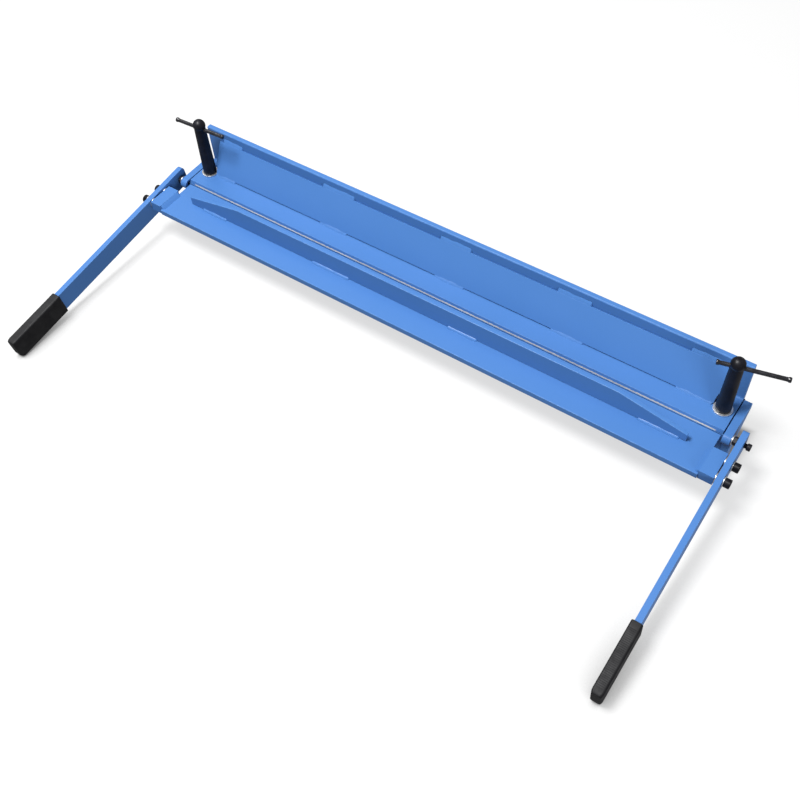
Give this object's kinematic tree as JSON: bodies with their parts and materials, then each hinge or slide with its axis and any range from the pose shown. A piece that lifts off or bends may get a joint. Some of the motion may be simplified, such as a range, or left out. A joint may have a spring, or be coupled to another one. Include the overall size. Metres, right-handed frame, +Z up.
{
  "type": "sheet metal brake",
  "caption": "Bench-top sheet metal bending brake: folding leaf with two long arms, screw-clamped beam and angle-iron base.",
  "frame": {"origin": "middle of the underside of the base's front flange, on the bench", "axes": "+Z up, +X along the bend line, -Y towards the operator, who stands where the arms point"},
  "size_m": [1.0188, 0.4601, 0.1797],
  "materials": {
    "blue_paint": "semi-gloss blue paint, worn to steel on the clamping edge",
    "black_steel": "black oxide, satin",
    "zinc_plate": "bright zinc plate",
    "spring_steel": "oiled spring wire",
    "black_rubber": "moulded, matt"
  },
  "bodies": {
    "base": {"base_angle": "blue_paint", "end_bracket_left": "blue_paint", "bench_foot_left": "blue_paint", "foot_gusset_left": "blue_paint", "clamp_stud_left": "black_steel", "spring_cup_left": "blue_paint", "stud_nut_left": "zinc_plate", "lift_spring_left": "spring_steel", "pivot_screw_left": "black_steel", "pivot_washer_left": "zinc_plate", "pivot_nut_left": "black_steel", "end_bracket_right": "blue_paint", "bench_foot_right": "blue_paint", "foot_gusset_right": "blue_paint", "clamp_stud_right": "black_steel", "spring_cup_right": "blue_paint", "stud_nut_right": "zinc_plate", "lift_spring_right": "spring_steel", "pivot_screw_right": "black_steel", "pivot_washer_right": "zinc_plate", "pivot_nut_right": "black_steel"},
    "clamp_beam": {"clamp_angle": "blue_paint", "stiffener_panel": "blue_paint", "thrust_washer_left": "zinc_plate", "thrust_washer_right": "zinc_plate"},
    "folding_leaf": {"leaf_plate": "blue_paint", "leaf_rib": "blue_paint", "end_block_left": "blue_paint", "arm_left": "blue_paint", "grip_left": "black_rubber", "arm_screw_rear_left": "black_steel", "arm_screw_front_left": "black_steel", "screw_washer_rear_left": "zinc_plate", "screw_washer_front_left": "zinc_plate", "arm_spacer_rear_left": "zinc_plate", "arm_spacer_front_left": "zinc_plate", "end_block_right": "blue_paint", "arm_right": "blue_paint", "grip_right": "black_rubber", "arm_screw_rear_right": "black_steel", "arm_screw_front_right": "black_steel", "screw_washer_rear_right": "zinc_plate", "screw_washer_front_right": "zinc_plate", "arm_spacer_rear_right": "zinc_plate", "arm_spacer_front_right": "zinc_plate"},
    "clamp_nut_left": {"clamp_nut_left": "black_steel"},
    "tommy_bar_left": {"tommy_bar_left": "black_steel"},
    "clamp_nut_right": {"clamp_nut_right": "black_steel"},
    "tommy_bar_right": {"tommy_bar_right": "black_steel"}
  },
  "joints": [
    {"name": "leaf_fold", "type": "hinge", "parent": "base", "child": "folding_leaf", "pos_m": [0, -0.00385, 0.069], "axis": [-1, 0, 0], "range_deg": [0, 95]},
    {"name": "beam_lift", "type": "slide", "parent": "base", "child": "clamp_beam", "axis": [0, 0, 1], "range_m": [0, 0.007], "deforming": ["lift_spring_left", "lift_spring_right"]},
    {"name": "nut_turn_left", "type": "hinge", "parent": "clamp_beam", "child": "clamp_nut_left", "pos_m": [-0.4486, 0.0304, 0.0777], "axis": [0, 0, 1], "range_deg": [0, 1440]},
    {"name": "nut_turn_right", "type": "hinge", "parent": "clamp_beam", "child": "clamp_nut_right", "pos_m": [0.4486, 0.0304, 0.0777], "axis": [0, 0, 1], "range_deg": [0, 1440]},
    {"name": "tommy_slide_left", "type": "slide", "parent": "clamp_nut_left", "child": "tommy_bar_left", "axis": [0.9987, 0.0506, 0], "range_m": [-0.032, 0.032]},
    {"name": "tommy_slide_right", "type": "slide", "parent": "clamp_nut_right", "child": "tommy_bar_right", "axis": [0.9715, 0.2368, 0], "range_m": [-0.052, 0.012]}
  ],
  "couplings": [
    {"joint": "nut_turn_left", "follows": "beam_lift", "rad_per_m": 3590.4},
    {"joint": "nut_turn_right", "follows": "beam_lift", "rad_per_m": 3590.4}
  ]
}
